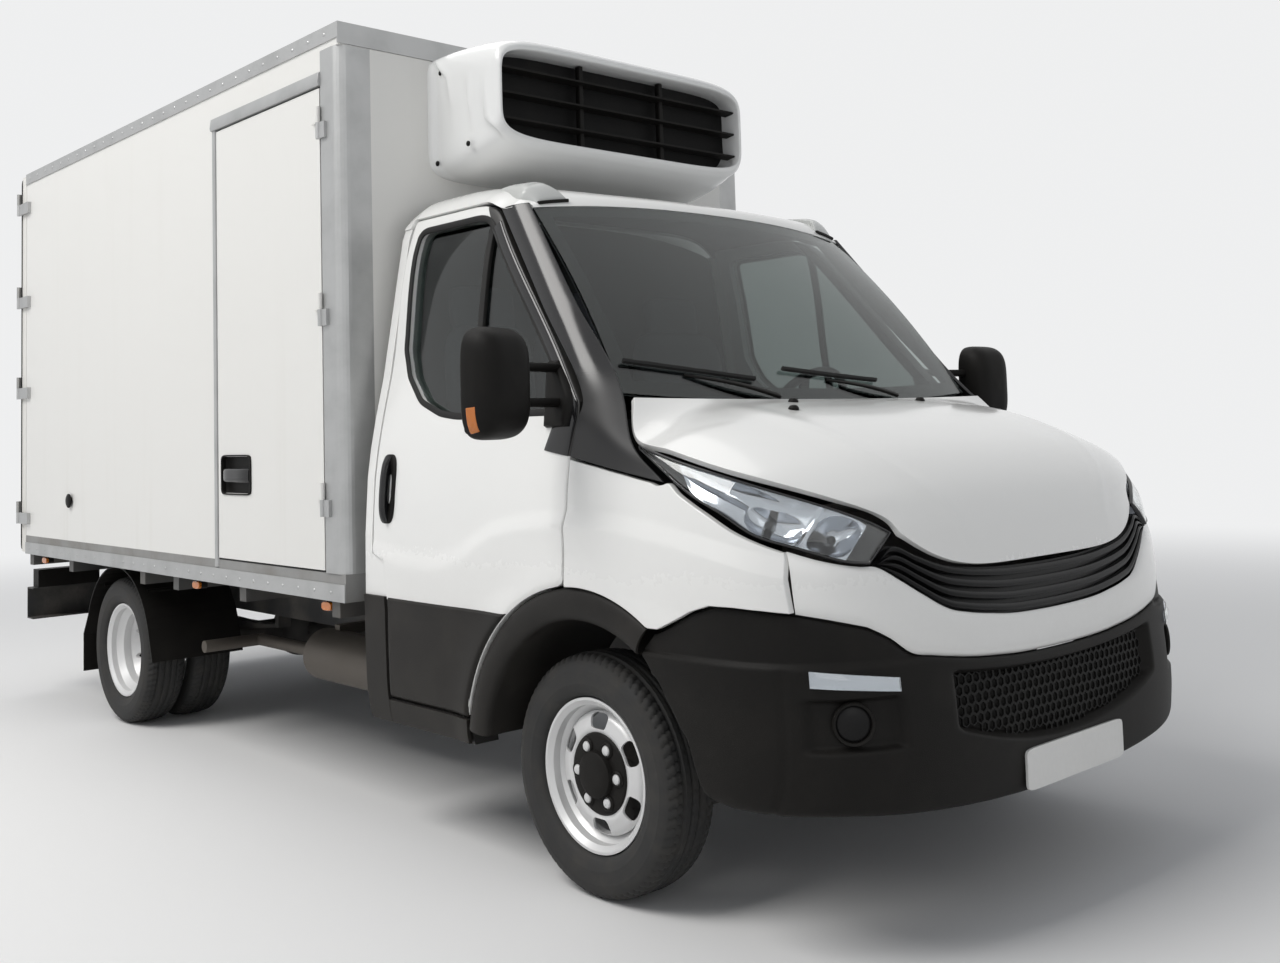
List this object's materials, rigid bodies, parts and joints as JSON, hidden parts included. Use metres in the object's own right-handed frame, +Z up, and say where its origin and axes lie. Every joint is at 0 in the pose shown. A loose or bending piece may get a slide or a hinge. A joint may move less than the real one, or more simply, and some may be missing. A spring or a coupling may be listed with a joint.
{
  "type": "refrigerated box truck",
  "caption": "Light refrigerated truck: bonneted cab, twin rear wheels, insulated box with side and rear doors, and a cooling unit over the cab; wheels, steering, doors and bonnet move.",
  "frame": {"origin": "on the ground under the middle of the overall length and width", "axes": "+X forward, +Y to the vehicle's left, +Z up"},
  "size_m": [5.657, 2.6834, 2.841],
  "materials": {
    "paint_white": "gloss",
    "box_skin": "satin",
    "box_floor": "matte",
    "edging": "brushed",
    "frame_black": "satin",
    "axle_black": "matte",
    "engine": "matte",
    "plastic_black": "grained",
    "steel_pipe": "weathered",
    "lamp_red": "clear red",
    "cooler_white": "satin",
    "glass": "tinted",
    "lamp_clear": "clear",
    "trim_inside": "grained",
    "seat_cloth": "woven",
    "tyre": "matte",
    "wheel_silver": "satin"
  },
  "bodies": {
    "chassis": {"frame_rails": "frame_black", "crossmembers": "frame_black", "subframe": "edging", "front_axle": "axle_black", "engine": "engine", "rear_axle": "axle_black", "leaf_springs": "axle_black", "fuel_tank": "plastic_black", "exhaust": "steel_pipe", "underrun_bar": "frame_black", "mudguards": "plastic_black", "lamps_rear": "lamp_red", "box_floor": "box_floor", "box_front_wall": "box_skin", "box_left_wall": "box_skin", "box_right_wall": "box_skin", "box_roof": "box_skin", "box_edging": "edging", "cooler_housing": "cooler_white", "cooler_grille": "plastic_black", "cab_floor": "paint_white", "cab_back": "paint_white", "cab_roof": "paint_white", "cab_sides": "paint_white", "pillars": "plastic_black", "windscreen": "glass", "cowl": "plastic_black", "wheel_arches": "plastic_black", "fenders": "paint_white", "front_panel": "paint_white", "grille": "plastic_black", "bumper": "plastic_black", "headlamps": "lamp_clear", "radiator": "engine", "dashboard": "trim_inside", "seats": "seat_cloth"},
    "steering_wheel": {"steering_wheel": "trim_inside"},
    "bonnet": {"bonnet": "paint_white"},
    "door_right": {"door_right": "paint_white", "door_glass_right": "glass", "mirror_right": "plastic_black"},
    "door_left": {"door_left": "paint_white", "door_glass_left": "glass", "mirror_left": "plastic_black"},
    "side_door": {"side_door": "box_skin"},
    "rear_door_right": {"rear_door_right": "box_skin"},
    "rear_door_left": {"rear_door_left": "box_skin"},
    "knuckle_right": {"knuckle_right": "axle_black"},
    "knuckle_left": {"knuckle_left": "axle_black"},
    "wheel_front_right": {"wheel_front_right": "wheel_silver", "tyre_front_right": "tyre"},
    "wheel_front_left": {"wheel_front_left": "wheel_silver", "tyre_front_left": "tyre"},
    "wheel_rear_right": {"wheels_rear_right": "wheel_silver", "tyres_rear_right": "tyre"},
    "wheel_rear_left": {"wheels_rear_left": "wheel_silver", "tyres_rear_left": "tyre"}
  },
  "joints": [
    {"name": "steering_left", "type": "hinge", "parent": "chassis", "child": "knuckle_left", "pos_m": [1.8295, 0.765, 0.347], "axis": [0, 0, 1], "range_deg": [-35, 35]},
    {"name": "steering_right", "type": "hinge", "parent": "chassis", "child": "knuckle_right", "pos_m": [1.8295, -0.765, 0.347], "axis": [0, 0, 1], "range_deg": [-35, 35]},
    {"name": "steering_wheel_turn", "type": "hinge", "parent": "chassis", "child": "steering_wheel", "pos_m": [1.53992, 0.42, 1.35974], "axis": [-0.8192, 0, 0.5736], "range_deg": [-421, 421]},
    {"name": "wheel_front_left_spin", "type": "hinge", "parent": "knuckle_left", "child": "wheel_front_left", "pos_m": [1.8295, 0.845, 0.347], "axis": [0, 1, 0], "continuous": true},
    {"name": "wheel_front_right_spin", "type": "hinge", "parent": "knuckle_right", "child": "wheel_front_right", "pos_m": [1.8295, -0.845, 0.347], "axis": [0, 1, 0], "continuous": true},
    {"name": "wheel_rear_left_spin", "type": "hinge", "parent": "chassis", "child": "wheel_rear_left", "pos_m": [-1.6205, 0.7565, 0.347], "axis": [0, 1, 0], "continuous": true},
    {"name": "wheel_rear_right_spin", "type": "hinge", "parent": "chassis", "child": "wheel_rear_right", "pos_m": [-1.6205, -0.7565, 0.347], "axis": [0, 1, 0], "continuous": true},
    {"name": "door_right_hinge", "type": "hinge", "parent": "chassis", "child": "door_right", "pos_m": [1.8295, -1.015, 1], "axis": [0, 0, 1], "range_deg": [0, 70]},
    {"name": "door_left_hinge", "type": "hinge", "parent": "chassis", "child": "door_left", "pos_m": [1.8295, 1.015, 1], "axis": [0, 0, -1], "range_deg": [0, 70]},
    {"name": "bonnet_hinge", "type": "hinge", "parent": "chassis", "child": "bonnet", "pos_m": [1.9795, 0, 1.412], "axis": [0, -1, 0], "range_deg": [0, 50]},
    {"name": "side_door_hinge", "type": "hinge", "parent": "chassis", "child": "side_door", "pos_m": [0.5355, -1.062, 1.5], "axis": [0, 0, 1], "range_deg": [0, 90]},
    {"name": "rear_door_right_hinge", "type": "hinge", "parent": "chassis", "child": "rear_door_right", "pos_m": [-2.8185, -1.064, 1.5], "axis": [0, 0, 1], "range_deg": [0, 270]},
    {"name": "rear_door_left_hinge", "type": "hinge", "parent": "chassis", "child": "rear_door_left", "pos_m": [-2.8185, 1.064, 1.5], "axis": [0, 0, -1], "range_deg": [0, 270]}
  ],
  "couplings": [
    {"joint": "steering_right", "follows": "steering_left", "ratio": 1},
    {"joint": "steering_wheel_turn", "follows": "steering_left", "ratio": 12}
  ]
}
